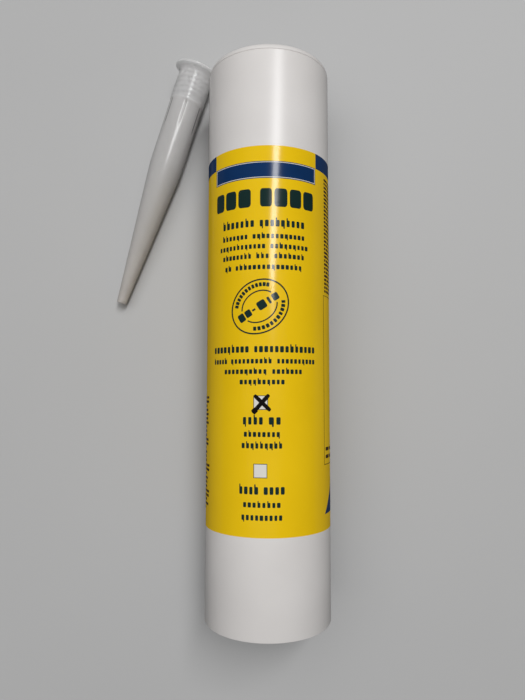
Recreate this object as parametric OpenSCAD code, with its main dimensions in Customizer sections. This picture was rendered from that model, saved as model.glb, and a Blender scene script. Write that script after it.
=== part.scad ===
// Caulk tube: a moulded cartridge lying on a table, with its nozzle taken off and laid beside it.
// The barrel lies along Y with its head at +Y, and the front of the label faces up.

/* [Barrel] */
// Outside diameter of the barrel
barrel_od = 49.6; // [44:0.2:56]
// Thickness of the barrel's wall
barrel_wall = 1.5; // [1.2:0.1:2.2]
// Length from the rear rim to the face of the head
barrel_len = 222; // [205:1:250]
// Length of the lead-in at the rear, where the bore is a little wider
mouth_len = 13; // [8:0.5:15]
// How much wider the lead-in is than the bore, on the radius
mouth_relief = 0.3; // [0.1:0.05:0.5]
// Chamfer on both edges of the rear rim
rim_ease = 0.3; // [0.1:0.05:0.4]

/* [Head and spout] */
// Thickness of the head
head_wall = 3; // [2:0.5:5]
// Rounding of the shoulder between barrel and head
shoulder_round = 2.8; // [1:0.1:4]
// How much lower the shoulder starts than the barrel's side
shoulder_step = 0.1; // [0.05:0.05:0.3]
// Depth of the fine groove where the shoulder starts
shoulder_groove = 0.3; // [0.15:0.05:0.5]
// Width of that groove
groove_w = 0.35; // [0.2:0.05:0.6]
// Fillet inside the barrel, under the head
head_fillet = 1.5; // [0.5:0.25:2]
// Diameter of the spout, without its thread
spout_od = 12.8; // [11:0.1:13.4]
// Length of the spout beyond the head
spout_len = 9.2; // [7:0.1:12]
// Diameter of the passage in the spout
spout_bore = 8.4; // [5:0.1:9]
// Thickness of the skin that closes the spout until it is cut
skin_t = 1; // [0.5:0.1:1.5]
// Fillet at the foot of the spout
spout_fillet = 0.8; // [0.4:0.1:1.2]

/* [Piston] */
// Depth from the rear rim to the rear edge of the piston
piston_depth = 17; // [16:0.5:24]
// Length of the piston
piston_len = 17; // [14:0.5:22]
// Thickness of the piston's skirt
piston_wall = 1.2; // [0.8:0.1:2]
// Thickness of the piston's crown
piston_crown = 2; // [1.5:0.1:3]
// Length of each of the two wiping lips
lip_len = 2.4; // [1.5:0.1:3]
// Height of the lips above the skirt
lip_h = 0.6; // [0.3:0.1:1]
// Bevel at the front edge of the crown
crown_bevel = 1; // [0.5:0.1:1.5]
// Number of stiffening ribs behind the crown
piston_ribs = 8; // [6:1:12]
// Height of those ribs
piston_rib_h = 3.5; // [2:0.5:5]
// Fillet in the piston's corner, between the ribs
piston_corner = 0.5; // [0.3:0.1:0.8]
// Thickness of those ribs
piston_rib_t = 1; // [0.8:0.1:1.6]
// Diameter of the ring where the ribs meet
piston_hub_od = 13; // [10:0.5:18]
// Running clearance between piston and bore, on the radius
piston_clear = 0.08; // [0.05:0.01:0.1]
// Gap that keeps the adhesive clear of the walls around it
fill_clear = 0.1; // [0.05:0.05:0.2]

/* [Label] */
// Bare length between the face of the head and the label
label_bare = 41; // [30:1:50]
// Bare length between the rear rim and the label
label_rear = 36.4; // [28:0.2:46]
// Thickness of the film, which is let in flush with the barrel
film_t = 0.12; // [0.08:0.01:0.2]
// Clearance between the film and the seat behind it
film_clear = 0.02; // [0.01:0.005:0.03]
// Depth of the inks, which are let into the film
ink_t = 0.05; // [0.03:0.01:0.06]
// Width of the butt seam at the back, in degrees
seam_turn = 1.2; // [0.5:0.1:3]
// Place of the seam, in degrees clockwise from the top as seen from the rear
seam_at = 150; // [120:5:170]

/* [Print] */
// Left edge of the front panel, in degrees from the top
panel_left = -56; // [-70:1:-45]
// Right edge of the front panel, in degrees from the top
panel_right = 47; // [40:1:60]
// Width of the blue band at the label's upper edge, in percent of the label's length
band_share = 4.15; // [3:0.05:5]
// Width of the blue bar across the panel, in percent of the label's length
bar_share = 4.55; // [3:0.05:5.5]
// Centre of the print on the panel, in degrees from the top
print_at = -6; // [-12:1:0]
// Distance from the label's upper edge to the middle of the ring, in percent of its length
ring_share = 43.4; // [42:0.1:45]
// Size of the ring, in percent of the label's length
ring_size = 14.9; // [12:0.1:15.5]
// Width of the ring's line
ring_line = 0.6; // [0.4:0.1:1.2]
// Side of each tick box
box_w = 5.2; // [4:0.2:6]
// Width of the line around a tick box
box_line = 0.3; // [0.2:0.05:0.5]
// Width of the strokes of the tick
tick_line = 1.1; // [0.6:0.1:1.4]

/* [Nozzle] */
// Length of the nozzle
nozzle_len = 110.2; // [100:0.2:125]
// Diameter of the flange at the open end
flange_od = 19.6; // [18:0.2:22]
// Thickness of the flange at its rim
flange_t = 1.2; // [0.8:0.1:1.6]
// Length over which the flange sweeps into the collar
flare_len = 3.4; // [2.4:0.2:5]
// Diameter of the collar next to the flange
collar_top_od = 15; // [14.6:0.1:16]
// Diameter of the collar at its other end
collar_end_od = 15.4; // [15.2:0.1:17]
// Length of the collar, with the flange
collar_len = 16; // [14:0.2:20]
// Diameter of the threaded socket in the collar
socket_d = 13.8; // [13.6:0.05:14]
// Length of the straight body below the collar
shank_len = 30; // [25:0.2:35]
// Diameter of the body below the collar
shank_od = 14.7; // [14:0.1:15]
// Diameter of the tip
tip_od = 4.4; // [3.6:0.1:6]
// Thickness of the nozzle's wall beyond the collar
nozzle_wall = 1; // [0.8:0.05:1.2]
// Rounding of the tip
tip_round = 0.6; // [0.3:0.1:0.8]
// Number of the ribs inside the body
fin_count = 6; // [4:1:8]
// Length of those ribs
fin_len = 12.5; // [8:0.5:16]
// Height of those ribs where they start
fin_h = 1.4; // [0.8:0.1:2]
// Thickness of those ribs
fin_t = 0.8; // [0.6:0.1:1.2]

/* [Place of the nozzle] */
// Angle between the nozzle and the barrel, seen from above
nozzle_yaw = 17.8; // [15:0.1:22]
// Sideways distance from the barrel's side to the middle of the flange
nozzle_side = 7; // [6:0.1:12]
// Distance from the face of the head to the middle of the flange, along the barrel
nozzle_ahead = 10.8; // [9:0.1:14]

/* [Hidden] */
$fn = 96;

outer_r = barrel_od / 2;
bore_r = outer_r - barrel_wall;
mouth_r = bore_r + mouth_relief;
head_in = barrel_len - head_wall;
shoulder_at = barrel_len - shoulder_round;
spout_r = spout_od / 2;
spout_top = barrel_len + spout_len;
spout_ease = 0.6;
passage_end = spout_top - skin_t;
mouth_step = 2 * mouth_relief;

lip_r = bore_r - piston_clear;
skirt_r = lip_r - lip_h;
cup_r = skirt_r - piston_wall;
cup_end = piston_len - piston_crown;
rib_start = cup_end - piston_rib_h;
edge_ease = 0.3;
rib_sink = 0.4;

label_high = barrel_len - label_bare;
label_low = label_rear;
label_len = label_high - label_low;
seat_r = outer_r - film_t;
film_r = seat_r + film_clear;
ink_r = outer_r - ink_t;
ink_cut = outer_r + 0.5;

// Rows of print on the panel: drop of the row's middle from the label's upper edge and height of its
// letters, both in percent of the label's length, and the widths of its words in degrees
word_gap = 3.4;
title_row = [13.8, 4.98, [40, 55]];
text_rows = [
    [20.5, 1.87, [33, 42]],
    [23.9, 1.31, [27, 48]],
    [26.6, 1.31, [46, 36]],
    [29.2, 1.31, [30, 12, 29]],
    [32, 1.31, [8, 61]],
    [53.1, 1.73, [40, 58]],
    [56.2, 1.31, [18, 38, 38]],
    [58.9, 1.31, [41, 28]],
    [61.4, 1.31, [40]],
    [71.2, 1.94, [19, 12]],
    [74.6, 1.31, [32]],
    [77.4, 1.38, [36]],
    [88.5, 1.94, [18, 19]],
    [92, 1.31, [33]],
    [95.1, 1.38, [36]]
];
tick_drops = [66.6, 83.6];
box_r = box_w / 2 - box_line;
// Gap between each end of the bar and the edge of the panel, in degrees
bar_gap = 0.7;
// The ring, and the slanted bar across it
ring_d = label_len * ring_size / 100;
slant_bar = [ring_d * 0.8, ring_d * 0.15];
slant = 32;

// The blue wedge at the lower right of the label: place of its tip in degrees from the top,
// half of its width in degrees, its foot, and its height, slant and width in millimetres
wedge_at = 59.6;
wedge_half = 20;
wedge_low = label_low + 6.5;
wedge_h = 16;
wedge_slant = 12.5;
wedge_w = 17;

flange_r = flange_od / 2;
collar_top_r = collar_top_od / 2;
collar_end_r = collar_end_od / 2;
socket_r = socket_d / 2;
shank_r = shank_od / 2;
tip_r = tip_od / 2;
shank_at = collar_len + (collar_end_r - shank_r);
cone_at = collar_len + shank_len;
cone_in = shank_r - nozzle_wall;
tip_in = tip_r - nozzle_wall;
socket_end = collar_len - nozzle_wall;
flange_edge = 0.4;

// The nozzle rests on the rim of its flange and on the edge where its cone starts
nozzle_dip = atan((flange_r - shank_r) / (cone_at - flange_t));
nozzle_x = -(outer_r + nozzle_side);
nozzle_y = barrel_len + nozzle_ahead;
nozzle_z = flange_r * cos(nozzle_dip) + flange_t * sin(nozzle_dip);
nozzle_ux = sin(nozzle_yaw) * cos(nozzle_dip);
nozzle_uy = cos(nozzle_yaw) * cos(nozzle_dip);

// Middle of the whole set, seen from above
set_left = nozzle_x - (nozzle_len - tip_round) * nozzle_ux - tip_r * sqrt(1 - nozzle_ux * nozzle_ux);
set_front = max(spout_top, nozzle_y + flange_r * sqrt(1 - nozzle_uy * nozzle_uy));
mid_x = (set_left + outer_r) / 2;
mid_y = set_front / 2;

function arc(x, y, r, a0, a1, n) =
    [for (i = [0:n]) let (a = a0 + (a1 - a0) * i / n) [x + r * cos(a), y + r * sin(a)]];
function total(v, n) = n > 0 ? v[n - 1] + total(v, n - 1) : 0;
function down(percent) = label_high - label_len * percent / 100;

// Moves a piece drawn upright, rear end down, to where the barrel lies
module lying() {
    translate([-mid_x, -mid_y, outer_r]) rotate([-90, 0, 0]) children();
}

// A curved field of the label between two angles from the top and two heights
module field(turn0, turn1, low, high, inner, outer) {
    rotate([0, 0, turn0 - 90])
        translate([0, 0, low])
            rotate_extrude(angle = turn1 - turn0)
                translate([inner, 0]) square([outer - inner, high - low]);
}

// A flat outline pressed into the film, its middle at an angle from the top and a height
module stamp(turn, height, outer) {
    intersection() {
        field(turn - 60, turn + 60, label_low, label_high, ink_r, outer);
        rotate([0, 0, turn - 90])
            translate([0, 0, height])
                rotate([90, 0, 90])
                    linear_extrude(outer + 1) children();
    }
}

module words(row, outer) {
    widths = row[2];
    count = len(widths);
    start = print_at - (total(widths, count) + word_gap * (count - 1)) / 2;
    low = down(row[0] + row[1] / 2);
    for (i = [0:count - 1]) {
        left = start + total(widths, i) + word_gap * i;
        field(left, left + widths[i], low, down(row[0] - row[1] / 2), ink_r, outer);
    }
}

// The three inks, which stop short of the seam. Each is drawn out to the film's face, or further
// where it cuts its own bed
module blue_ink(outer = outer_r) {
    band_low = down(band_share);
    bar_low = down(band_share + bar_share);
    field(panel_right, seam_at - seam_turn, band_low, label_high, ink_r, outer);
    field(seam_at + seam_turn, panel_left + 360, band_low, label_high, ink_r, outer);
    field(panel_left + bar_gap, panel_right - bar_gap, bar_low, band_low, ink_r, outer);
    stamp(wedge_at + wedge_half, wedge_low, outer) wedge_outline();
}

module wedge_outline() {
    left = -outer_r * sin(wedge_half);
    polygon([[left, 0], [left + wedge_w, 0], [left + wedge_w, wedge_h], [left + wedge_slant, wedge_h]]);
}

module tick_outline() {
    for (a = [42, -45])
        rotate(a) square([box_w * 1.3, tick_line], center = true);
}

module box_frame() {
    difference() {
        square(box_w, center = true);
        square(2 * box_r, center = true);
    }
}

module dark_ink(outer = outer_r) {
    words(title_row, outer);
    for (row = text_rows) words(row, outer);
    stamp(print_at, down(ring_share), outer) {
        difference() {
            circle(d = ring_d);
            circle(d = ring_d - 2 * ring_line);
        }
        rotate(slant) square(slant_bar, center = true);
    }
    stamp(print_at, down(tick_drops[0]), outer) {
        box_frame();
        tick_outline();
    }
    stamp(print_at, down(tick_drops[1]), outer) box_frame();
}

module white_ink(outer = outer_r) {
    stamp(print_at, down(tick_drops[0]), outer)
        difference() {
            square(2 * box_r, center = true);
            tick_outline();
        }
    stamp(print_at, down(tick_drops[1]), outer) square(2 * box_r, center = true);
}

module barrel() {
    color("whitesmoke") lying() rotate_extrude() polygon(concat(
        [[mouth_r + rim_ease, 0], [outer_r - rim_ease, 0], [outer_r, rim_ease],
            [outer_r, label_low], [seat_r, label_low], [seat_r, label_high], [outer_r, label_high],
            [outer_r, shoulder_at - groove_w], [outer_r - shoulder_groove, shoulder_at - groove_w / 2]],
        arc(outer_r - shoulder_step - shoulder_round, shoulder_at, shoulder_round, 0, 90, 8),
        arc(spout_r + spout_fillet, barrel_len + spout_fillet, spout_fillet, 270, 180, 4),
        [[spout_r, spout_top - spout_ease], [spout_r - spout_ease, spout_top], [0, spout_top],
            [0, passage_end], [spout_bore / 2, passage_end], [spout_bore / 2, head_in]],
        arc(bore_r - head_fillet, head_in - head_fillet, head_fillet, 90, 0, 5),
        [[bore_r, mouth_len], [mouth_r, mouth_len - mouth_step], [mouth_r, rim_ease]]));
}

module piston() {
    color("white") lying() translate([0, 0, piston_depth]) {
        rotate_extrude() polygon([
            [0, piston_len], [lip_r - crown_bevel, piston_len], [lip_r, piston_len - crown_bevel],
            [lip_r, piston_len - crown_bevel - lip_len], [skirt_r, piston_len - crown_bevel - lip_len - lip_h],
            [skirt_r, lip_len + lip_h], [lip_r, lip_len], [lip_r, edge_ease], [lip_r - edge_ease, 0],
            [cup_r, 0], [cup_r, rib_start], [cup_r - piston_corner, rib_start + piston_corner],
            [cup_r - piston_corner, cup_end], [0, cup_end]]);
        difference() {
            translate([0, 0, rib_start]) cylinder(d = piston_hub_od, h = piston_rib_h + rib_sink);
            translate([0, 0, rib_start - 1]) cylinder(d = piston_hub_od - 2 * piston_rib_t, h = piston_rib_h + 1);
        }
        for (i = [0:piston_ribs - 1])
            rotate([0, 0, (i + 0.5) * 360 / piston_ribs])
                translate([piston_hub_od / 2 - rib_sink, -piston_rib_t / 2, rib_start])
                    cube([cup_r + 2 * rib_sink - piston_hub_od / 2, piston_rib_t, piston_rib_h + rib_sink]);
    }
}

module adhesive() {
    fill_r = bore_r - fill_clear;
    fill_end = head_in - fill_clear;
    neck_r = spout_bore / 2 - fill_clear;
    start = piston_depth + piston_len + fill_clear;
    color("gainsboro") lying() rotate_extrude() polygon(concat(
        [[0, start], [fill_r, start]],
        arc(fill_r - head_fillet, fill_end - head_fillet, head_fillet, 0, 90, 5),
        [[neck_r, fill_end], [neck_r, passage_end - fill_clear], [0, passage_end - fill_clear]]));
}

module label_film() {
    color("gold") lying() difference() {
        field(seam_at + seam_turn / 2, seam_at + 360 - seam_turn / 2, label_low, label_high, film_r, outer_r);
        blue_ink(ink_cut);
        dark_ink(ink_cut);
        white_ink(ink_cut);
    }
}

module label_blue() {
    color("midnightblue") lying() blue_ink();
}

module label_print() {
    color("darkslategray") lying() dark_ink();
}

module label_white() {
    color("white") lying() white_ink();
}

module fin() {
    reach = cone_in + nozzle_wall / 2;
    rotate([90, 0, 0]) linear_extrude(fin_t, center = true)
        polygon([[reach, socket_end + 0.1], [cone_in - fin_h, socket_end + 0.1], [cone_in - fin_h, shank_at],
            [cone_in, shank_at + fin_len], [reach, shank_at + fin_len]]);
}

module nozzle() {
    sweep = flange_r - collar_top_r - flange_edge;
    color("lightgray")
        translate([nozzle_x - mid_x, nozzle_y - mid_y, nozzle_z])
            rotate([90 + nozzle_dip, 0, -nozzle_yaw]) {
                rotate_extrude() polygon(concat(
                    [[socket_r + flange_edge, 0], [flange_r - flange_edge, 0]],
                    arc(flange_r - flange_edge, flange_edge, flange_edge, -60, 0, 3),
                    [[flange_r, flange_t - flange_edge / 2], [flange_r - flange_edge / 2, flange_t]],
                    [for (t = [0:15:90])
                        [flange_r - flange_edge - sweep * sin(t),
                            flare_len - (flare_len - flange_t) * cos(t)]],
                    [[collar_end_r, collar_len], [shank_r, shank_at], [shank_r, cone_at]],
                    arc(tip_r - tip_round, nozzle_len - tip_round, tip_round, 0, 90, 4),
                    [[tip_in, nozzle_len], [cone_in, cone_at], [cone_in, socket_end], [socket_r, socket_end],
                        [socket_r, flange_edge]]));
                for (i = [0:fin_count - 1])
                    rotate([0, 0, (i + 0.5) * 360 / fin_count]) fin();
            }
}

barrel();
piston();
adhesive();
label_film();
label_blue();
label_print();
label_white();
nozzle();
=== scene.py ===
# %% [markdown]
# # A caulk tube with its nozzle beside it
#
# The real object is a cartridge of building adhesive: a white moulded barrel with a yellow film
# label, a rounded head that hides a short threaded spout, and a tapered nozzle that screws onto
# that spout. Here the nozzle lies beside the barrel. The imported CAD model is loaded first. It fixes
# every size and place, and each piece made below is fitted to it.

# %% Load the frame
import math
import random

import bpy
from mathutils import Matrix, Vector


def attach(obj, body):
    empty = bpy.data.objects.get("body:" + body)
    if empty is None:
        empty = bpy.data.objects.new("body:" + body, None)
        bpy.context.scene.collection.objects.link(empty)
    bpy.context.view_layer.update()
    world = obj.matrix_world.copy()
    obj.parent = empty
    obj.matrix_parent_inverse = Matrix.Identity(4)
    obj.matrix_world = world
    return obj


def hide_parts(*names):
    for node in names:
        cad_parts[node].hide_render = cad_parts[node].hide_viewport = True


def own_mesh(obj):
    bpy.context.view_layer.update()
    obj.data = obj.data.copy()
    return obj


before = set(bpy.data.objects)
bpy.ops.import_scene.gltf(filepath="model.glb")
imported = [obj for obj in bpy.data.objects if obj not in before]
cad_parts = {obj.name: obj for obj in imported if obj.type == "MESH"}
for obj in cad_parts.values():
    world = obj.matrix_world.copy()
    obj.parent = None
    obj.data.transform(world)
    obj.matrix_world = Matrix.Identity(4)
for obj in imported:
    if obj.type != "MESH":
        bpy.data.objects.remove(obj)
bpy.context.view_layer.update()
print("CAD nodes:", sorted(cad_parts))

# %% [markdown]
# ## The camera
#
# The photograph looks down on the table from about a quarter of a metre, with a wide lens, so the
# barrel's head leans towards the top of the picture. The camera stands where the edges of the
# barrel, the label and the nozzle in the picture meet the CAD model's own edges.

# %% The camera
photo_lens = bpy.data.cameras.new("photo_camera")
photo_lens.lens = 29.58
photo_lens.sensor_width = 36
photo_lens.clip_start = 0.01
camera = bpy.data.objects.new("photo_camera", photo_lens)
camera.matrix_world = (
    Matrix.Translation((0.018975, -0.029599, 0.25925))
    @ Matrix.Rotation(math.radians(4.24), 4, "X")
    @ Matrix.Rotation(math.radians(0.10), 4, "Z")
)
bpy.context.scene.collection.objects.link(camera)
bpy.context.scene.camera = camera
print("camera stands", round(camera.location.z * 1000), "mm above the floor")

# %% [markdown]
# ## The light
#
# A faint world fills the shadows. Only the camera, and light that comes through the clear nozzle,
# see it as pale: a Light Path node tells them from all other light. A wide lamp stands for the
# room's ceiling. It is kept out of reflections, because the glossy film would mirror its edges as a
# broad strip. One narrow lamp hangs a little beyond the head and to the right. The film mirrors it
# as the thin bright streak down the upper half of the label, and it throws the soft shadow on the
# left.


# %% The world and the lamps
def level_in_view(tree, otherwise, in_view):
    """One value for the camera and through clear plastic, and another for all other light."""
    seen_by = tree.nodes.new("ShaderNodeLightPath")
    looked_at = tree.nodes.new("ShaderNodeMath")
    looked_at.operation = "MAXIMUM"
    tree.links.new(seen_by.outputs["Is Camera Ray"], looked_at.inputs[0])
    tree.links.new(seen_by.outputs["Is Transmission Ray"], looked_at.inputs[1])
    level = tree.nodes.new("ShaderNodeMapRange")
    level.inputs["To Min"].default_value, level.inputs["To Max"].default_value = otherwise, in_view
    tree.links.new(looked_at.outputs["Value"], level.inputs["Value"])
    return level.outputs["Result"]


room = bpy.data.worlds.new("bright_room")
room.use_nodes = True
sky = room.node_tree.nodes["Background"]
sky.inputs["Color"].default_value = (1.0, 1.0, 1.0, 1)
strength = level_in_view(room.node_tree, otherwise=0.07, in_view=0.55)
room.node_tree.links.new(strength, sky.inputs["Strength"])
bpy.context.scene.world = room
bpy.context.scene.view_settings.view_transform = "Standard"


def hang_lamp(name, target, lean_right, lean_ahead, distance, size, power):
    """Hangs a rectangular lamp that faces a point from a distance, leaning by two angles."""
    lamp = bpy.data.lights.new(name, "AREA")
    lamp.shape = "RECTANGLE"
    lamp.size, lamp.size_y = size
    lamp.energy = power
    holder = bpy.data.objects.new(name, lamp)
    right, ahead = math.tan(math.radians(lean_right)), math.tan(math.radians(lean_ahead))
    way = Vector((right, ahead, 1)).normalized()
    holder.location = Vector(target) + way * distance
    holder.rotation_euler = way.to_track_quat("Z", "Y").to_euler()
    bpy.context.scene.collection.objects.link(holder)
    return holder


hang_lamp(
    "ceiling_lamp", target=(0.022, 0.037, 0.05), lean_right=13.0, lean_ahead=23.0,
    distance=1.5, size=(0.22, 0.82), power=10.2,
)
pale_ceiling = hang_lamp(
    "pale_ceiling", target=(0.0, 0.0, 0.0), lean_right=-9.0, lean_ahead=10.0,
    distance=3.0, size=(4.0, 4.0), power=62.0,
)
pale_ceiling.visible_glossy = False
print("lamps:", len(bpy.data.lights))

# %% [markdown]
# ## Sizes
#
# These are the CAD model's own sizes in millimetres. A point on the barrel is named by three
# numbers: its angle from the top, its height from the rear rim and its distance from the axis.
# Pieces of the barrel are made upright, with the rear rim at the bottom, and are then laid down.

# %% The sizes of the barrel, its label and the nozzle
MM = 0.001
BARREL_R = 24.8
BORE_R = 23.3
MOUTH_R = 23.6
FILM_R = 24.7
BARREL_LEN = 222.0
LABEL_LOW = 36.4
LABEL_HIGH = 181.0
HEAD_INSIDE = 219.0
SPOUT_R = 6.4
SPOUT_TOP = 231.2
SPOUT_BORE_R = 4.2
SPOUT_BORE_TOP = 230.2
SEAM = 150.0

LAID_DOWN = (
    Matrix.Translation((0.0212746, -0.1179194, 0.0248))
    @ Matrix.Rotation(math.radians(-90), 4, "X")
)
NOZZLE_PLACE = (
    Matrix.Translation((-0.010525, 0.114881, 0.009851))
    @ Matrix.Rotation(math.radians(-17.8), 4, "Z")
    @ Matrix.Rotation(math.radians(93.130), 4, "X")
)

# %% [markdown]
# ## Tools for turned pieces
#
# Barrel, spout, piston and nozzle are all round mouldings. By hand such a piece starts as a ring of
# points. The ring is extruded and scaled again and again along the outline, as on a lathe. The same
# three moves are wrapped in one function here, so that each piece is only its list of points.


# %% Tools for turned pieces
def clear_hands():
    """Leaves edit mode and deselects everything, so that the next operator acts on one piece."""
    if bpy.context.object and bpy.context.object.mode == "EDIT":
        bpy.ops.object.mode_set(mode="OBJECT")
    bpy.ops.object.select_all(action="DESELECT")


def take(piece):
    """Selects one piece and makes it the active one."""
    clear_hands()
    piece.select_set(True)
    bpy.context.view_layer.objects.active = piece


def rounding(x, y, radius, start, end, steps):
    """Points on an arc, for a rounded corner of an outline."""
    turns = [math.radians(start + (end - start) * i / steps) for i in range(steps + 1)]
    return [(x + radius * math.cos(t), y + radius * math.sin(t)) for t in turns]


def turn(name, outline, sides):
    """Carries a ring of points along an outline of (radius, height) in millimetres."""
    clear_hands()
    radius, height = outline[0]
    start = (0, 0, height * MM)
    bpy.ops.mesh.primitive_circle_add(vertices=sides, radius=radius * MM, location=start)
    piece = bpy.context.object
    piece.name = piece.data.name = name
    bpy.ops.object.mode_set(mode="EDIT")
    bpy.ops.mesh.select_all(action="SELECT")
    for next_radius, next_height in outline[1:]:
        rise = (0, 0, (next_height - height) * MM)
        bpy.ops.mesh.extrude_region_move(TRANSFORM_OT_translate={"value": rise})
        if next_radius == 0:
            bpy.ops.mesh.merge(type="CENTER")
            break
        grow = next_radius / radius
        bpy.ops.transform.resize(value=(grow, grow, 1), center_override=(0, 0, next_height * MM))
        radius, height = next_radius, next_height
    bpy.ops.object.mode_set(mode="OBJECT")
    bpy.ops.object.transform_apply(location=True, rotation=True, scale=True)
    return piece


def join(name, pieces):
    """Joins pieces into one."""
    take(pieces[0])
    for piece in pieces[1:]:
        piece.select_set(True)
    bpy.ops.object.join()
    whole = bpy.context.object
    whole.name = whole.data.name = name
    return whole


def weld(piece):
    """Welds the points that meet and turns every face of a closed piece outwards."""
    take(piece)
    bpy.ops.object.mode_set(mode="EDIT")
    bpy.ops.mesh.select_all(action="SELECT")
    bpy.ops.mesh.remove_doubles(threshold=0.000002)
    bpy.ops.mesh.normals_make_consistent(inside=False)
    bpy.ops.object.mode_set(mode="OBJECT")
    return piece


def apply_modifier(piece, kind, **settings):
    """Adds a modifier, gives it its settings and applies it."""
    take(piece)
    modifier = piece.modifiers.new(kind.lower(), kind)
    for setting, value in settings.items():
        setattr(modifier, setting, value)
    bpy.ops.object.modifier_apply(modifier=modifier.name)


def finish_piece(piece, place, finish, body, slot, *nodes, sharp=32):
    """Moves a piece to its place, shades it, gives it its finish and lets it ride on its body."""
    take(piece)
    piece.data.transform(place)
    bpy.ops.object.shade_smooth_by_angle(angle=math.radians(sharp))
    piece.data.materials.clear()
    piece.data.materials.append(finish)
    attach(piece, body)
    if nodes:
        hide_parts(*nodes)
    print(piece.name, "has", len(piece.data.polygons), "faces")


# %% [markdown]
# ## Finishes
#
# Every finish is a Principled shader whose colour, gloss and surface vary a little, as moulded
# plastic and printed film do. The variation comes from noise that reads Object coordinates, so it
# stays on the piece when the piece moves. What is the same all over is set on the shader's socket.
#
# The film's shine is a thin coat over the ink. Its high IOR mirrors the lamp brightly, and its low
# weight keeps the colours deep where the label turns away. In the nozzle's cloudy plastic most of
# the light scatters below the surface, and a small share passes straight through.


# %% Tools for finishes
def ramp(nodes, first, last, *between):
    """Adds a colour ramp through stops, each a position and a colour."""
    made = nodes.new("ShaderNodeValToRGB")
    stops = made.color_ramp.elements
    for stop, (position, colour) in zip(stops, (first, last)):
        stop.position, stop.color = position, (*colour, 1)
    for position, colour in between:
        stops.new(position).color = (*colour, 1)
    return made


def tint(finish, tone, share=1.0):
    """Multiplies a tone into a finish's colour, all of it or by a share that a node gives."""
    nodes, wire = finish.node_tree.nodes, finish.node_tree.links.new
    mix = nodes.new("ShaderNodeMix")
    mix.data_type = "RGBA"
    mix.blend_type = "MULTIPLY"
    if isinstance(share, float):
        mix.inputs["Factor"].default_value = share
    else:
        wire(share, mix.inputs["Factor"])
    colour = nodes["Principled BSDF"].inputs["Base Color"]
    wire(colour.links[0].from_socket, mix.inputs["A"])
    wire(tone, mix.inputs["B"])
    wire(mix.outputs["Result"], colour)


def plastic(name, dark, pale, gloss, grain, bump, mottle=40.0, **sockets):
    """A plastic whose colour drifts between two tones, with a gloss range and a fine grain."""
    finish = bpy.data.materials.new(name)
    finish.use_nodes = True
    nodes, wire = finish.node_tree.nodes, finish.node_tree.links.new
    shader = nodes["Principled BSDF"]
    for socket, value in sockets.items():
        shader.inputs[socket.replace("_", " ")].default_value = value
    place = nodes.new("ShaderNodeTexCoord")

    drift = nodes.new("ShaderNodeTexNoise")
    drift.inputs["Scale"].default_value = mottle
    drift.inputs["Detail"].default_value = 4.0
    wire(place.outputs["Object"], drift.inputs["Vector"])
    tones = ramp(nodes, (0.3, dark), (0.7, pale))
    wire(drift.outputs["Fac"], tones.inputs["Fac"])
    wire(tones.outputs["Color"], shader.inputs["Base Color"])

    sheen = nodes.new("ShaderNodeMapRange")
    sheen.inputs["To Min"].default_value, sheen.inputs["To Max"].default_value = gloss
    wire(drift.outputs["Fac"], sheen.inputs["Value"])
    wire(sheen.outputs["Result"], shader.inputs["Roughness"])

    skin = nodes.new("ShaderNodeTexNoise")
    skin.inputs["Scale"].default_value = grain
    skin.inputs["Detail"].default_value = 3.0
    wire(place.outputs["Object"], skin.inputs["Vector"])
    relief = nodes.new("ShaderNodeBump")
    relief.inputs["Strength"].default_value = bump
    relief.inputs["Distance"].default_value = 0.00005
    wire(skin.outputs["Fac"], relief.inputs["Height"])
    wire(relief.outputs["Normal"], shader.inputs["Normal"])
    wire(relief.outputs["Normal"], shader.inputs["Coat Normal"])
    return finish


# %% The finishes of the set
barrel_white = plastic(
    "barrel_white", (0.73, 0.703, 0.685), (0.77, 0.743, 0.725), (0.28, 0.36), 900, 0.12,
)
piston_white = plastic(
    "piston_white", (0.66, 0.67, 0.67), (0.72, 0.73, 0.73), (0.42, 0.55), 700, 0.20,
)
paste = plastic("adhesive_paste", (0.60, 0.58, 0.52), (0.68, 0.66, 0.60), (0.50, 0.65), 300, 0.40)
FILM = {
    "gloss": (0.35, 0.45), "grain": 500, "bump": 0.05, "Specular_IOR_Level": 0.0,
    "Coat_Weight": 0.155, "Coat_IOR": 2.4, "Coat_Roughness": 0.155,
}
film_yellow = plastic("label_yellow", (0.855, 0.545, 0.005), (0.895, 0.580, 0.007), **FILM)
ink_blue = plastic("ink_blue", (0.004, 0.028, 0.100), (0.006, 0.035, 0.125), **FILM)
ink_dark = plastic("ink_dark", (0.007, 0.024, 0.022), (0.011, 0.032, 0.030), **FILM)
ink_brown = plastic("ink_brown", (0.032, 0.014, 0.002), (0.052, 0.022, 0.004), **FILM)
ink_white = plastic("ink_white", (0.72, 0.70, 0.65), (0.77, 0.75, 0.70), **FILM)
pen_black = plastic(
    "pen_black", (0.003, 0.002, 0.002), (0.008, 0.005, 0.005), (0.45, 0.60), 800, 0.10,
    Specular_IOR_Level=0.1,
)
nozzle_clear = plastic(
    "nozzle_clear", (0.96, 0.93, 0.91), (0.99, 0.96, 0.94), (0.20, 0.264), 600, 0.08,
    Transmission_Weight=0.10, Subsurface_Weight=1.0, Subsurface_Scale=0.006,
    Subsurface_Radius=(1.0, 1.0, 1.0), IOR=1.45,
)
print("finishes:", len(bpy.data.materials))
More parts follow.
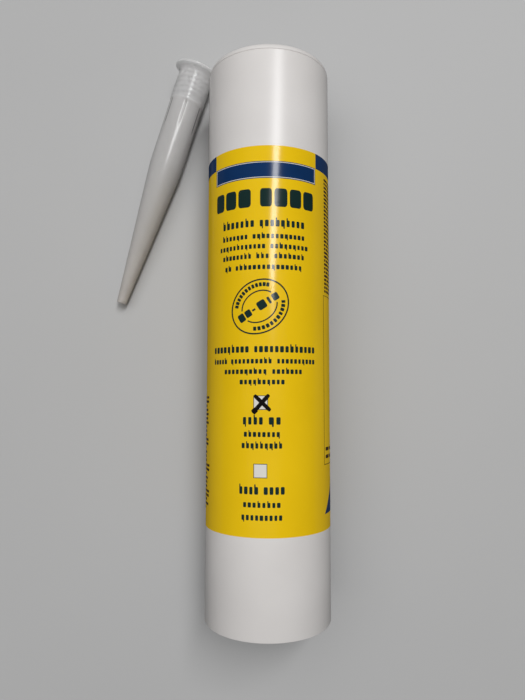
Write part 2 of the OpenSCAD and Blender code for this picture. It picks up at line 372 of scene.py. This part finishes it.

# %% [markdown]
# ## The nozzle's painted light and shade along its length
#
# The clear plastic looks whitest where it is thickest, in the collar, and greyest at the thin tip.
# That light and shade is painted into the colour. A Mapping node turns Object coordinates into the
# nozzle's own, so that Z runs from its flange to its tip, and a ramp over that length is multiplied
# into the colour: lighter at the collar, and darker and warmer towards the tip.

# %% Paint the nozzle's collar lighter and its tip darker
NOZZLE_LEN = 110.2
COLLAR_END = 16.0
nozzle_nodes, nozzle_wire = nozzle_clear.node_tree.nodes, nozzle_clear.node_tree.links.new
own_place = nozzle_nodes.new("ShaderNodeMapping")
own_place.vector_type = "TEXTURE"
own_place.inputs["Location"].default_value = NOZZLE_PLACE.translation
own_place.inputs["Rotation"].default_value = NOZZLE_PLACE.to_euler()
nozzle_wire(nozzle_nodes["Texture Coordinate"].outputs["Object"], own_place.inputs["Vector"])
split = nozzle_nodes.new("ShaderNodeSeparateXYZ")
nozzle_wire(own_place.outputs["Vector"], split.inputs["Vector"])
reach = nozzle_nodes.new("ShaderNodeMapRange")
reach.inputs["From Max"].default_value = NOZZLE_LEN * MM
nozzle_wire(split.outputs["Z"], reach.inputs["Value"])
# Painted light and shade: the collar is painted whiter and the body and tip greyer, for the light
# that the thick and thin walls let through.
painted_thickness_shade = ramp(
    nozzle_nodes, (0.138, (1.0, 1.0, 1.0)), (1.0, (0.65, 0.61, 0.57)),
    (0.155, (0.765, 0.765, 0.765)), (0.42, (0.715, 0.715, 0.715)),
)
nozzle_wire(reach.outputs["Result"], painted_thickness_shade.inputs["Fac"])
tint(nozzle_clear, painted_thickness_shade.outputs["Color"])
print("tone stops along the nozzle:", len(painted_thickness_shade.color_ramp.elements))

# %% [markdown]
# ## The ribs, as painted shade and light on the wall
#
# Six ribs stand inside the nozzle, below its collar. Through the cloudy wall each shows as a grey
# line between two pale ones, and that look is painted into the colour: a painted shade line over
# each rib, which also splits the highlight over the top rib, between two painted pale lines. The
# angle round the nozzle, counted from the nearest rib, chooses the tone, and a window along the
# nozzle ends the lines where the ribs end.

# %% Paint the ribs' shade and light onto the nozzle's wall
RIB_ANGLE = 20.0
RIB_STEP = 60.0
HALF_STEP = RIB_STEP / 2


def step_through(operation, first, second):
    """Adds one Math node to the nozzle's finish and returns its result."""
    step = nozzle_nodes.new("ShaderNodeMath")
    step.operation = operation
    for socket, given in zip(step.inputs, (first, second)):
        if isinstance(given, float):
            socket.default_value = given
        else:
            nozzle_wire(given, socket)
    return step.outputs["Value"]


def window(start, end):
    """Rises from 0 to 1 along the nozzle, between two places in millimetres."""
    rise = nozzle_nodes.new("ShaderNodeMapRange")
    rise.inputs["From Min"].default_value = start * MM
    rise.inputs["From Max"].default_value = end * MM
    nozzle_wire(split.outputs["Z"], rise.inputs["Value"])
    return rise.outputs["Result"]


way_round = step_through("ARCTAN2", split.outputs["Y"], split.outputs["X"])
way_round = step_through("ADD", way_round, math.radians(HALF_STEP - RIB_ANGLE))
from_rib = step_through("FLOORED_MODULO", way_round, math.radians(RIB_STEP))
from_rib = step_through("SUBTRACT", from_rib, math.radians(HALF_STEP))
from_rib = step_through("ABSOLUTE", from_rib, 0.0)
# Painted shade over the middle of each rib and painted light beside it, multiplied into the colour.
painted_rib_shade = ramp(
    nozzle_nodes, (0.09, (0.52, 0.52, 0.52)), (0.30, (1.0, 1.0, 1.0)),
    (0.15, (1.12, 1.12, 1.12)), (0.22, (1.12, 1.12, 1.12)),
)
nozzle_wire(step_through("DIVIDE", from_rib, math.radians(HALF_STEP)), painted_rib_shade.inputs["Fac"])
rib_shade_window = step_through("MULTIPLY", window(COLLAR_END, 17.5), window(29.5, 27.0))
tint(nozzle_clear, painted_rib_shade.outputs["Color"], rib_shade_window)
print("nodes in the nozzle's finish:", len(nozzle_nodes))

# %% [markdown]
# ## The barrel
#
# The barrel is one moulding: a long tube, a head with a rounded shoulder and the closed spout. The
# shoulder starts at a fine groove, which shows as a thin dark ring. The outside and the inside are
# turned from the same rear rim, and joined there. At the label's place the wall is cut back by the
# film's thickness, because the film lies flush in the wall.

# %% Turn the barrel
rim_ease = 0.3
shoulder = 2.8
shoulder_at = BARREL_LEN - shoulder
spout_foot = 0.8
head_corner = 1.5
rear_rim = (MOUTH_R + rim_ease, 0)
barrel_outside = [
    rear_rim, (BARREL_R - rim_ease, 0), (BARREL_R - 0.09, 0.09), (BARREL_R, rim_ease),
    (BARREL_R, LABEL_LOW), (FILM_R, LABEL_LOW), (FILM_R, LABEL_HIGH), (BARREL_R, LABEL_HIGH),
    (BARREL_R, shoulder_at - 0.40), (BARREL_R - 0.04, shoulder_at - 0.34),
    (BARREL_R - 0.30, shoulder_at - 0.24), (BARREL_R - 0.30, shoulder_at - 0.12),
    *rounding(BARREL_R - 0.1 - shoulder, shoulder_at, shoulder, 0, 90, 14),
    *rounding(SPOUT_R + spout_foot, BARREL_LEN + spout_foot, spout_foot, 270, 180, 5),
    (SPOUT_R, SPOUT_TOP - 0.6), (SPOUT_R - 0.2, SPOUT_TOP - 0.2),
    (SPOUT_R - 0.6, SPOUT_TOP), (0, SPOUT_TOP),
]
barrel_inside = [
    rear_rim, (MOUTH_R, rim_ease), (MOUTH_R, 12.4), (BORE_R, 13.0),
    *rounding(BORE_R - head_corner, HEAD_INSIDE - head_corner, head_corner, 0, 90, 6),
    (SPOUT_BORE_R, HEAD_INSIDE), (SPOUT_BORE_R, SPOUT_BORE_TOP), (0, SPOUT_BORE_TOP),
]
barrel = weld(join("barrel_moulding", [
    turn("outside", barrel_outside, 192),
    turn("inside", barrel_inside, 192),
]))

# %% [markdown]
# ## The thread on the spout
#
# A thread is one ridge that climbs as it goes round. The ridge's outline is a small tapered
# rectangle, and the Screw modifier carries it round and up. Its two ends fade into the spout, as
# they do where a mould has to open.


# %% A tool for threads
def thread(name, foot, crest, pitch, start, turns, width):
    """A helical ridge from radius foot to radius crest, in millimetres."""
    steps_in_turn, crest_share, fade_turns = 48, 0.35, 0.25
    clear_hands()
    outward = 1 if crest > foot else -1
    middle = (foot + crest) / 2
    place = (middle * MM, 0, start * MM)
    bpy.ops.mesh.primitive_plane_add(size=1, location=place, rotation=(math.pi / 2, 0, 0))
    ridge = bpy.context.object
    ridge.name = ridge.data.name = name
    ridge.scale = (abs(crest - foot) * MM, width * MM, 1)
    bpy.ops.object.transform_apply(location=True, rotation=True, scale=True)
    for point in ridge.data.vertices:
        if (point.co.x - middle * MM) * outward > 0:
            point.co.z = start * MM + (point.co.z - start * MM) * crest_share
    bpy.ops.object.mode_set(mode="EDIT")
    bpy.ops.mesh.select_all(action="SELECT")
    bpy.ops.mesh.delete(type="ONLY_FACE")
    bpy.ops.object.mode_set(mode="OBJECT")
    apply_modifier(
        ridge, "SCREW", axis="Z", angle=math.tau * turns, screw_offset=pitch * turns * MM,
        steps=int(steps_in_turn * turns), render_steps=int(steps_in_turn * turns),
    )
    reach = pitch * turns * MM
    for point in ridge.data.vertices:
        climbed = (point.co.z - start * MM) / reach
        fade = max(0.0, min(1.0, climbed * turns / fade_turns, (1 - climbed) * turns / fade_turns))
        flat = Vector((point.co.x, point.co.y))
        wanted = foot * MM + (flat.length - foot * MM) * fade
        flat = flat.normalized() * wanted
        point.co.x, point.co.y = flat
    take(ridge)
    bpy.ops.object.mode_set(mode="EDIT")
    bpy.ops.mesh.select_all(action="SELECT")
    bpy.ops.mesh.fill_holes(sides=4)
    bpy.ops.mesh.select_all(action="SELECT")
    bpy.ops.mesh.normals_make_consistent(inside=False)
    bpy.ops.object.mode_set(mode="OBJECT")
    return ridge


# %% The thread on the spout, joined to the barrel
THREAD_PITCH = 2.2
spout_thread = thread(
    "spout_thread", foot=SPOUT_R - 0.05, crest=SPOUT_R + 0.42, pitch=THREAD_PITCH,
    start=BARREL_LEN + 2.2, turns=2.4, width=1.5,
)
take(barrel)
spout_thread.select_set(True)
bpy.ops.object.join()
finish_piece(barrel, LAID_DOWN, barrel_white, "tube", "barrel_plastic", "barrel")

# %% [markdown]
# ## Tools for the label
#
# The label is printed flat and then bent round the barrel, and it is made the same way here. Each
# sheet is laid out flat, with its length round the barrel along X and its height along Z. It is cut
# into strips so that it can bend, thickened with Solidify, and bent with Simple Deform. An angle in
# degrees and a length along the sheet are the same thing, so one function turns one into the other.


# %% Tools for the label
def along(angle):
    """The length along the flat sheet that becomes this angle from the top, in millimetres."""
    return math.radians(angle) * BARREL_R


def wrap(sheet, outset, thickness, strip=1.2):
    """Cuts a flat sheet into strips, thickens it inwards and bends it round the barrel."""
    take(sheet)
    bpy.ops.object.transform_apply(location=True, rotation=True, scale=True)
    sheet.data.transform(Matrix.Translation((0, -outset * MM, 0)))
    left = min(point.co.x for point in sheet.data.vertices)
    right = max(point.co.x for point in sheet.data.vertices)
    bpy.ops.object.mode_set(mode="EDIT")
    cut = math.ceil(left / (strip * MM)) * strip * MM
    while cut < right:
        bpy.ops.mesh.select_all(action="SELECT")
        bpy.ops.mesh.bisect(plane_co=(cut, 0, 0), plane_no=(1, 0, 0))
        cut += strip * MM
    bpy.ops.object.mode_set(mode="OBJECT")
    apply_modifier(sheet, "SOLIDIFY", thickness=thickness * MM, offset=-1.0)
    apply_modifier(
        sheet, "SIMPLE_DEFORM", deform_method="BEND", deform_axis="Z",
        angle=(right - left) / (BARREL_R * MM),
    )
    sheet.data.transform(Matrix.Translation((0, -BARREL_R * MM, 0)))
    return sheet


def panel(name, left, right, low, high):
    """A flat rectangle of the sheet between two lengths and two heights, facing outwards."""
    clear_hands()
    middle = ((left + right) / 2 * MM, 0, (low + high) / 2 * MM)
    bpy.ops.mesh.primitive_plane_add(size=1, location=middle, rotation=(math.pi / 2, 0, 0))
    sheet = bpy.context.object
    sheet.name = sheet.data.name = name
    sheet.scale = ((right - left) * MM, (high - low) * MM, 1)
    bpy.ops.object.transform_apply(location=True, rotation=True, scale=True)
    return sheet


# %% [markdown]
# ## The film
#
# The film is one sheet that goes round the whole barrel and meets itself at a narrow seam behind.
# It is laid out as three lengths that meet edge to edge, one over the front and two behind. Its
# face is flush with the barrel's skin, and its back lies 0.1 mm below.

# %% The yellow film
FILM_THICK = 0.1
film_parts = [
    wrap(panel(name, along(left), along(right), LABEL_LOW, LABEL_HIGH), 0.0, FILM_THICK)
    for name, left, right in (
        ("film_front", -89.4, 89.4),
        ("film_right", 89.4, SEAM - 0.6),
        ("film_back", SEAM + 0.6, 270.6),
    )
]
film = join("label_film_sheet", film_parts)
finish_piece(film, LAID_DOWN, film_yellow, "tube", "label_yellow", "label_film")
axis = LAID_DOWN.translation
radii = [math.hypot(point.co.x - axis.x, point.co.z - axis.z) / MM for point in film.data.vertices]
print("film radius", round(min(radii), 3), "to", round(max(radii), 3))

# %% [markdown]
# ## Tools for the print
#
# Print has no height that the hand can feel, but two surfaces in one place flicker in a render. So
# each ink is a very thin sheet that stands a few hundredths of a millimetre proud of the film. A
# line of small type is a row of blocks, one for each letter's place. One block with rounded corners
# is modelled, and each other block is a copy with its own mesh, stretched and moved.

# %% The block that stands for a letter
INK_THICK = 0.05
clear_hands()
bpy.ops.mesh.primitive_plane_add(size=1, rotation=(math.pi / 2, 0, 0))
letter_block = bpy.context.object
letter_block.name = "letter_block"
bpy.ops.object.transform_apply(rotation=True)
bpy.ops.object.mode_set(mode="EDIT")
bpy.ops.mesh.select_all(action="SELECT")
bpy.ops.mesh.bevel(offset=0.2, segments=3, affect="VERTICES")
bpy.ops.object.mode_set(mode="OBJECT")


def press(x, height, wide, tall, tilt=0.0):
    """Copies the block to a place on the sheet, in millimetres, tilted anticlockwise in degrees."""
    copy = letter_block.copy()
    copy.data = letter_block.data.copy()
    copy.data.transform(
        Matrix.Translation((x * MM, 0, height * MM))
        @ Matrix.Rotation(-math.radians(tilt), 4, "Y")
        @ Matrix.Diagonal((wide * MM, 1, tall * MM, 1))
    )
    bpy.context.scene.collection.objects.link(copy)
    return copy


def stroke(start, end, wide):
    """Presses one straight stroke between two points of the sheet."""
    run, rise = end[0] - start[0], end[1] - start[1]
    return press(
        (start[0] + end[0]) / 2, (start[1] + end[1]) / 2, math.hypot(run, rise), wide,
        math.degrees(math.atan2(rise, run)),
    )


def face_outwards(sheet):
    """Turns over the faces of a flat sheet that look at the barrel."""
    take(sheet)
    bpy.ops.object.mode_set(mode="EDIT")
    bpy.ops.mesh.select_all(action="DESELECT")
    bpy.ops.object.mode_set(mode="OBJECT")
    for face in sheet.data.polygons:
        face.select = face.normal.y > 0
    bpy.ops.object.mode_set(mode="EDIT")
    bpy.ops.mesh.flip_normals()
    bpy.ops.object.mode_set(mode="OBJECT")


def line_frame(name, left, right, low, high, line):
    """A rectangular frame of one thin line: a panel that is inset and loses its middle."""
    frame_line = panel(name, left, right, low, high)
    bpy.ops.object.mode_set(mode="EDIT")
    bpy.ops.mesh.select_all(action="SELECT")
    bpy.ops.mesh.inset(thickness=line * MM)
    bpy.ops.mesh.delete(type="FACE")
    bpy.ops.object.mode_set(mode="OBJECT")
    return frame_line


# %% [markdown]
# ## The blue fields
#
# A blue band runs round the back of the label's upper edge and stops at the front panel. A blue bar
# crosses the panel below it, with a fine white line just inside its edge. A blue wedge starts at
# the lower right and runs on round the side.

# %% The blue fields and the white line in the bar
BAND_LOW = 175.0
BAR_LOW = 168.4
PANEL = (along(-55.3), along(46.3))
wedge = panel("wedge", along(60.2), along(104.0), 42.4, 62.0)
for corner in wedge.data.vertices:
    if corner.co.x < along(80) * MM and corner.co.z > 0.05:
        corner.co.x = along(95.5) * MM
blue_fields = [
    panel("band_right", along(47.0), along(SEAM - 1.2), BAND_LOW, LABEL_HIGH - 0.02),
    panel("band_left", along(SEAM + 1.2), along(304.0), BAND_LOW, LABEL_HIGH - 0.02),
    panel("bar", *PANEL, BAR_LOW, BAND_LOW),
    wedge,
]
blue = join("label_blue_fields", [wrap(field, 0.02, INK_THICK) for field in blue_fields])
finish_piece(blue, LAID_DOWN, ink_blue, "tube", "ink_blue", "label_blue")

inset = 0.3
bar_line = line_frame(
    "bar_line", PANEL[0] + inset, PANEL[1] - inset, BAR_LOW + inset, BAND_LOW - inset, 0.25,
)
TICKED_BOX = (along(-13.0), along(-0.6), 82.1, 87.3)
EMPTY_BOX = (along(-12.8), along(-1.2), 57.6, 62.7)
tick_squares = [panel("ticked_square", *TICKED_BOX), panel("empty_square", *EMPTY_BOX)]
white = wrap(join("label_white_fields", [bar_line, *tick_squares]), 0.035, INK_THICK)
finish_piece(white, LAID_DOWN, ink_white, "tube", "ink_white", "label_white")

# %% [markdown]
# ## The type on the front panel
#
# A title, eleven lines of small type and four bolder ones fill the panel, centred a little to the
# left of the top. Each line gives its height, the height of its letters, the widths of its words in
# degrees and the room that one letter takes. The letters' widths and their tall and low strokes
# vary by chance, from a fixed seed.

# %% The lines of type
PRINT_MIDDLE = along(-6)
WORD_GAP = along(3.4)
LETTER_SHARE = (0.58, 0.74)
TALL_LETTERS = 0.22
TAILED_LETTERS = 0.34
chance = random.Random(7)


def type_line(height, tall, words, spacing):
    """Presses one line of type and returns its blocks."""
    widths = [along(word) for word in words]
    x = PRINT_MIDDLE - (sum(widths) + WORD_GAP * (len(words) - 1)) / 2
    blocks = []
    for width in widths:
        letters = max(1, round(width / spacing))
        step = width / letters
        for place in range(letters):
            wide = step * chance.uniform(*LETTER_SHARE)
            stem = wide * 0.36
            middle = x + step * (place + 0.5)
            blocks.append(press(middle, height, wide, tall))
            kind = chance.random()
            if kind < TALL_LETTERS:
                blocks.append(press(middle - wide * 0.32, height + tall * 0.3, stem, tall * 1.1))
            elif kind < TAILED_LETTERS:
                blocks.append(press(middle + wide * 0.3, height - tall * 0.3, stem, tall))
        x += width + WORD_GAP
    return blocks


small_type = [
    (151.2, 2.5, [33, 42], 2.05), (146.3, 1.7, [27, 48], 1.72), (142.5, 1.7, [46, 36], 1.72),
    (138.8, 1.7, [30, 12, 29], 1.72), (134.7, 1.7, [8, 61], 1.72),
    (104.2, 2.3, [40, 58], 1.95), (99.8, 1.7, [18, 38, 38], 1.72), (96.0, 1.7, [41, 28], 1.72),
    (92.2, 1.7, [40], 1.72), (78.1, 2.7, [19, 12], 2.2), (73.2, 1.8, [32], 1.72),
    (69.1, 1.9, [36], 1.8), (53.1, 2.7, [18, 19], 2.2), (48.0, 1.8, [33], 1.72),
    (43.5, 1.9, [36], 1.8),
]
type_blocks = []
for line_of_type in small_type:
    type_blocks += type_line(*line_of_type)
print("letter blocks:", len(type_blocks))

title_blocks = []
title_height, title_tall = 161.0, 7.0
block_gap, word_space = 0.95, 2.6
x = along(-54)
for wide in (4.6, 4.9, 5.1, 0, 4.4, 5.0, 4.8, 4.9):
    if wide:
        title_blocks.append(press(x + wide / 2, title_height, wide, title_tall))
        x += wide + block_gap
    else:
        x += word_space
title = join("title_line", title_blocks)
small = join("small_type", type_blocks)

# %% [markdown]
# ## The ring and the tick boxes
#
# A slanted oval ring sits in the middle of the panel. A finer ring inside it is broken where a
# slanted line of type crosses, and two short lines of type follow the oval between the rings. Lower
# down are two small white boxes with a thin edge. The upper one has been ticked with a pen.


# %% The ring and the tick boxes
def oval(name, long, short, line, slant, gap=0.0):
    """A flat, slanted oval of one line, which is left out within a gap of its long axis."""
    clear_hands()
    bpy.ops.mesh.primitive_circle_add(vertices=96, radius=0.5, rotation=(math.pi / 2, 0, 0))
    ring = bpy.context.object
    ring.name = ring.data.name = name
    ring.scale = (long * MM, short * MM, 1)
    bpy.ops.object.transform_apply(rotation=True, scale=True)
    bpy.ops.object.mode_set(mode="EDIT")
    bpy.ops.mesh.select_all(action="SELECT")
    bpy.ops.mesh.extrude_region_move()
    inner = ((long - 2 * line) / long, 1, (short - 2 * line) / short)
    bpy.ops.transform.resize(value=inner, center_override=(0, 0, 0))
    bpy.ops.mesh.select_all(action="DESELECT")
    bpy.ops.object.mode_set(mode="OBJECT")
    for face in ring.data.polygons:
        face.select = abs(face.center.z) < gap * MM
    bpy.ops.object.mode_set(mode="EDIT")
    bpy.ops.mesh.delete(type="FACE")
    bpy.ops.object.mode_set(mode="OBJECT")
    ring.data.transform(Matrix.Rotation(-math.radians(slant), 4, "Y"))
    return ring


RING_MIDDLE = (along(-8.2), 120.0)
SLANT = 32
rings = [
    oval("outer_ring", 23.3, 19.7, 0.55, SLANT),
    oval("inner_ring", 14.5, 11.5, 0.48, SLANT, gap=2.1),
]
for ring in rings:
    ring.data.transform(Matrix.Translation((RING_MIDDLE[0] * MM, 0, RING_MIDDLE[1] * MM)))


def on_oval(long, short, turn_by):
    """A place on the slanted oval and the direction of its line there."""
    turn_by = math.radians(turn_by)
    x, y = long / 2 * math.cos(turn_by), short / 2 * math.sin(turn_by)
    lean = math.degrees(math.atan2(short * math.cos(turn_by), -long * math.sin(turn_by)))
    slant = math.radians(SLANT)
    place = (
        RING_MIDDLE[0] + x * math.cos(slant) - y * math.sin(slant),
        RING_MIDDLE[1] + x * math.sin(slant) + y * math.cos(slant),
    )
    return place, lean + SLANT


ring_type = []
for first, last, letters in ((142, 42, 12), (-128, -24, 11)):
    for place in range(letters):
        spot, lean = on_oval(18.8, 15.5, first + (last - first) * place / (letters - 1))
        ring_type.append(press(*spot, 1.0 + 0.25 * chance.random(), 1.5, lean))
for reach, wide, tall in (
    (-7.9, 2.6, 3.1), (-4.9, 2.5, 2.7), (-2.4, 1.4, 0.7),
    (1.1, 3.4, 3.3), (4.3, 1.0, 2.7), (7.0, 2.5, 2.7),
):
    spot = (
        RING_MIDDLE[0] + reach * math.cos(math.radians(SLANT)),
        RING_MIDDLE[1] + reach * math.sin(math.radians(SLANT)),
    )
    ring_type.append(press(*spot, wide, tall, SLANT))
HAIR_LINE = 0.22
box_edges = [
    line_frame("ticked_edge", *TICKED_BOX, HAIR_LINE),
    line_frame("empty_edge", *EMPTY_BOX, HAIR_LINE),
]
dark_sheet = join("front_print", [title, small, *rings, *ring_type, *box_edges])
face_outwards(dark_sheet)
front_print = wrap(dark_sheet, 0.045, INK_THICK)
finish_piece(front_print, LAID_DOWN, ink_dark, "tube", "ink_dark", "label_print")

tick = join("pen_tick", [
    stroke((-5.3, 87.4), (0.6, 81.8), 1.45),
    stroke((-5.9, 80.9), (0.1, 87.6), 1.5),
    press(-5.2, 81.7, 1.9, 2.0, 45),
])
wrap(tick, 0.06, INK_THICK)
finish_piece(tick, LAID_DOWN, pen_black, "tube", "ink_dark")

# %% [markdown]
# ## The print at the sides
#
# Small columns of type run round the sides of the label. On the right a thin brown frame stands
# below the column, and only its left edge and its lower corner come into view.


# %% The columns at the sides
def type_column(rows, top, pitch, left, right, ragged):
    """Presses rows of tiny words between two angles, with a ragged right edge."""
    tall, gap = 0.95, 0.55
    words = []
    for row in range(rows):
        x = along(left)
        while x < along(right) + chance.uniform(*ragged):
            wide = chance.uniform(1.2, 4.2)
            words.append(press(x + wide / 2, top - pitch * row, wide, tall))
            x += wide + gap
    return words


side_blocks = [
    *type_column(30, 172.6, 1.54, 61.5, 112, (-2.5, 0)),
    *type_column(27, 86.4, 1.64, -118, -76, (-1.5, 1.5)),
]
for height in (66.8, 63.9):
    x = along(62.5)
    for wide in (3.4, 2.2, 4.6, 2.9):
        side_blocks.append(press(x + wide / 2, height, wide, 1.35))
        x += wide + 0.7
side_blocks.append(line_frame("side_frame", along(59.3), along(126), 60.9, 126.2, HAIR_LINE))
side_print = wrap(join("side_print", side_blocks), 0.03, INK_THICK)
finish_piece(side_print, LAID_DOWN, ink_brown, "tube", "ink_dark")
bpy.data.objects.remove(letter_block)

# %% [markdown]
# ## The nozzle
#
# The nozzle is a thin hollow moulding of clear polythene: a flange, a collar with a thread inside,
# a straight body and a long cone. Its wall shows as one closed outline that goes up the outside
# and back down the bore. Where the thread stands inside, the wall is thicker and sinks a little as
# it cools, so the collar's outside is gently ringed. That is what breaks its highlight into bands.

# %% Turn the nozzle
FLANGE_R = 9.8
SOCKET_R = 6.9
SHANK_R = 7.35
COLLAR_FROM = 3.4
COLLAR_R = 7.5
COLLAR_FLARE = 0.2
RING_DEPTH = 0.10
CONE_AT = 46.0
TIP_R = 2.2
WALL = 1.0


def collar_ring(height):
    """A point on the collar's ringed outside, which widens slowly from the flange."""
    level = COLLAR_R + COLLAR_FLARE * (height - COLLAR_FROM) / (COLLAR_END - COLLAR_FROM)
    return (level - RING_DEPTH * (1 + math.cos(math.tau * height / THREAD_PITCH)) / 2, height)


flange_sweep = [math.radians(t) for t in range(0, 91, 9)]
nozzle_wall = [
    (SOCKET_R + 0.4, 0), (FLANGE_R - 0.4, 0), *rounding(FLANGE_R - 0.4, 0.4, 0.4, -60, 0, 4),
    (FLANGE_R, 0.75), (FLANGE_R - 0.08, 0.95),
    *[
        (FLANGE_R - 0.25 - 2.05 * math.sin(t), COLLAR_FROM - 2.35 * math.cos(t))
        for t in flange_sweep
    ],
    *[collar_ring(3.8 + 0.275 * i) for i in range(42)],
    (7.69, 15.4), (7.66, 15.7), (7.58, COLLAR_END),
    (7.46, COLLAR_END + 0.35), (7.38, COLLAR_END + 0.7),
    *[(SHANK_R, height) for height in (17.2, 18.6, 22, 26.5, 29.5, CONE_AT - 0.5)],
    (SHANK_R - 0.01, CONE_AT),
    *rounding(TIP_R - 0.6, NOZZLE_LEN - 0.6, 0.6, 0, 90, 6),
    (TIP_R - WALL, NOZZLE_LEN), (SHANK_R - WALL, CONE_AT), (SHANK_R - WALL, 15.0), (SOCKET_R, 15.0),
    (SOCKET_R, 0.4), (SOCKET_R + 0.4, 0),
]
nozzle = weld(turn("nozzle_moulding", nozzle_wall, 180))

# %% [markdown]
# ## The hollows over the ribs
#
# Where a rib stands behind the wall, the plastic is thicker and sinks a little as it cools. The
# points over each rib are moved inwards by a tenth of a millimetre, most in the middle.

# %% The faint hollows over the ribs
SOFT_ANGLE = 7
for point in nozzle.data.vertices:
    angle = math.degrees(math.atan2(point.co.y, point.co.x))
    beside_rib = abs((angle + HALF_STEP - RIB_ANGLE) % RIB_STEP - HALF_STEP)
    outside = point.co.xy.length > 7.2 * MM
    if beside_rib < SOFT_ANGLE and outside and 17 * MM < point.co.z < 27 * MM:
        sink = 1 - 0.016 * math.cos(math.radians(90 * beside_rib / SOFT_ANGLE))
        point.co.x, point.co.y = point.co.xy * sink

# %% [markdown]
# ## The nozzle's ribs and thread
#
# Six short ribs stand inside the body, below the collar. One rib is a block whose inner corner
# towards the tip is drawn out to the wall, and the other five are copies of it, turned. A Boolean
# melts ribs and thread into the wall, so that no hidden face inside the clear plastic catches the
# light.

# %% The ribs and the thread, melted into the wall
RIB_OUTER, RIB_INNER, RIB_FEATHER = 6.85, 4.95, 6.5
RIB_FOOT, RIB_TOP = 15.1, 28.85
RIB_THICK = 0.8
clear_hands()
bpy.ops.mesh.primitive_cube_add(size=1)
rib = bpy.context.object
rib.name = "nozzle_rib"
for corner in rib.data.vertices:
    outer, upper = corner.co.x > 0, corner.co.z > 0
    corner.co.x = (RIB_OUTER if outer else RIB_INNER) * MM
    corner.co.y *= RIB_THICK * MM
    corner.co.z = (RIB_TOP if upper else RIB_FOOT) * MM
    if upper and not outer:
        corner.co.x = RIB_FEATHER * MM
ribs = [rib]
for place in range(1, 6):
    ribs.append(rib.copy())
    ribs[-1].data = rib.data.copy()
    bpy.context.scene.collection.objects.link(ribs[-1])
for place, each in enumerate(ribs):
    each.data.transform(Matrix.Rotation(math.radians(RIB_ANGLE + RIB_STEP * place), 4, "Z"))
fittings = join("nozzle_ribs", ribs)
socket_thread = thread(
    "socket_thread", foot=SOCKET_R + 0.1, crest=SOCKET_R - 0.4, pitch=THREAD_PITCH,
    start=2.6, turns=5.0, width=1.2,
)
for fitting in (fittings, socket_thread):
    apply_modifier(nozzle, "BOOLEAN", operation="UNION", solver="EXACT", object=fitting)
    bpy.data.objects.remove(fitting)
loose = [edge for edge in nozzle.data.edges if edge.is_loose]
print("loose edges in the nozzle:", len(loose))
finish_piece(nozzle, NOZZLE_PLACE, nozzle_clear, "tube", "nozzle_plastic", "nozzle")

# %% [markdown]
# ## The piston and the adhesive
#
# The piston is the CAD model's own shape and only gets its finish. The adhesive fills the barrel
# from the piston's crown to the closed spout. It is soft, and in the real tube the piston presses it
# against the head as it slides in. Here it is made as one turned piece.

# %% The piston and the adhesive
piston_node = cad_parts["piston"]
piston_node.data.materials.clear()
piston_node.data.materials.append(piston_white)

FILL_START = 34.1
EASE = 0.1
adhesive_fill = turn("adhesive_fill", [
    (0.4, FILL_START), (BORE_R - EASE, FILL_START),
    *rounding(BORE_R - EASE - head_corner, HEAD_INSIDE - EASE - head_corner, head_corner, 0, 90, 5),
    (SPOUT_BORE_R - EASE, HEAD_INSIDE - EASE), (SPOUT_BORE_R - EASE, SPOUT_BORE_TOP - EASE),
    (0, SPOUT_BORE_TOP - EASE),
], 96)
take(adhesive_fill)
bpy.ops.object.mode_set(mode="EDIT")
bpy.ops.mesh.select_all(action="SELECT")
bpy.ops.mesh.fill_holes(sides=0)
bpy.ops.object.mode_set(mode="OBJECT")
finish_piece(weld(adhesive_fill), LAID_DOWN, paste, "tube", "adhesive_paste", "adhesive")
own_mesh(adhesive_fill)

# %% [markdown]
# ## The floor
#
# A plain pale floor carries the set and takes its shadow. It shows its full tone to the camera and
# through the clear nozzle. For all other light it is darker, so that it throws less light up from
# the side and the barrel's turned edges stay dark.

# %% The floor
clear_hands()
bpy.ops.mesh.primitive_plane_add(size=6, location=(0, 0, 0))
floor = bpy.context.object
floor.name = floor.data.name = "pale_floor"
floor_grey = plastic(
    "floor_grey", (0.475, 0.475, 0.475), (0.49, 0.49, 0.49), (0.55, 0.65), 400, 0.10, mottle=6.0,
)
tint(floor_grey, level_in_view(floor_grey.node_tree, otherwise=0.5, in_view=1.0))
floor.data.materials.append(floor_grey)
